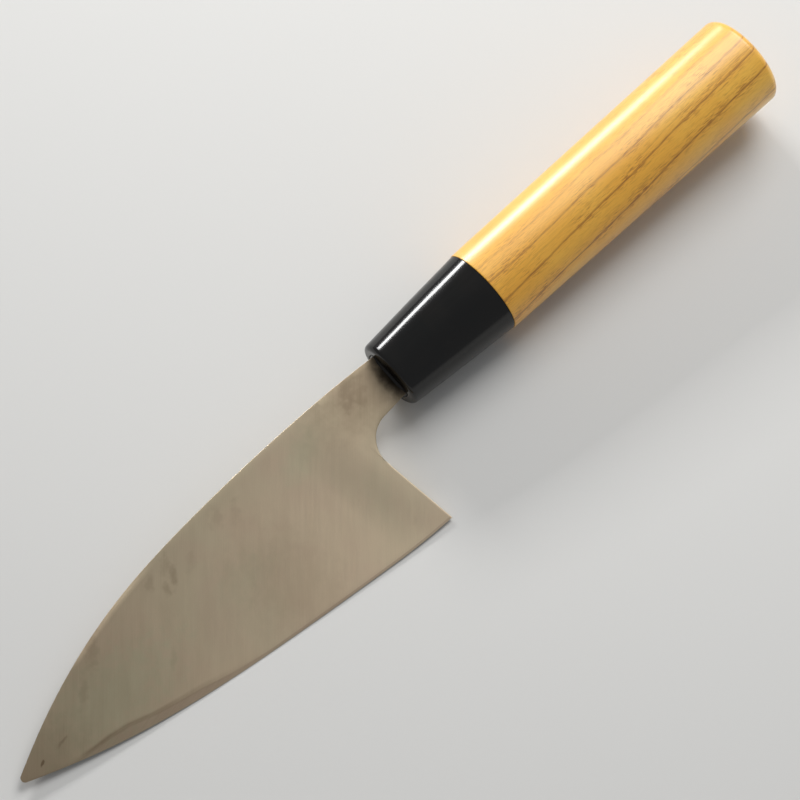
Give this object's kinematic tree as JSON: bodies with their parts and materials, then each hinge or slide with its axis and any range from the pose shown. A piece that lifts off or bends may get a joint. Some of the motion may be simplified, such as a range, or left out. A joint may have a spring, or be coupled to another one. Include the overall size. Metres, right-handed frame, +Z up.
{
  "type": "deba knife",
  "caption": "Small single-bevel kitchen knife with a wide pointed blade, a hollow-ground flat back, a finger notch, a black ferrule and a D-shaped wooden handle",
  "frame": {"origin": "on the table, under the middle of the knife's bounding box", "axes": "+X runs toward the butt, with the tip at -X; +Y toward the spine, with the cutting edge at -Y; +Z up. The knife lies as in the picture, with its hollow-ground back up, resting on the ridge of the ferrule and on the belly of the edge, so the handle's axis climbs 2.4 degrees toward the butt and the blade's back leans 16.3 degrees toward the edge."},
  "size_m": [0.2668, 0.0495, 0.0264],
  "materials": {
    "hard_steel": "satin",
    "soft_iron": "satin",
    "ferrule": "polished black",
    "handle_wood": "smooth, lightly oiled",
    "tang_seal": "matte"
  },
  "bodies": {
    "root": {"hard_steel": "hard_steel", "soft_iron": "soft_iron", "ferrule": "ferrule", "handle": "handle_wood", "tang_seal": "tang_seal"}
  },
  "joints": []
}
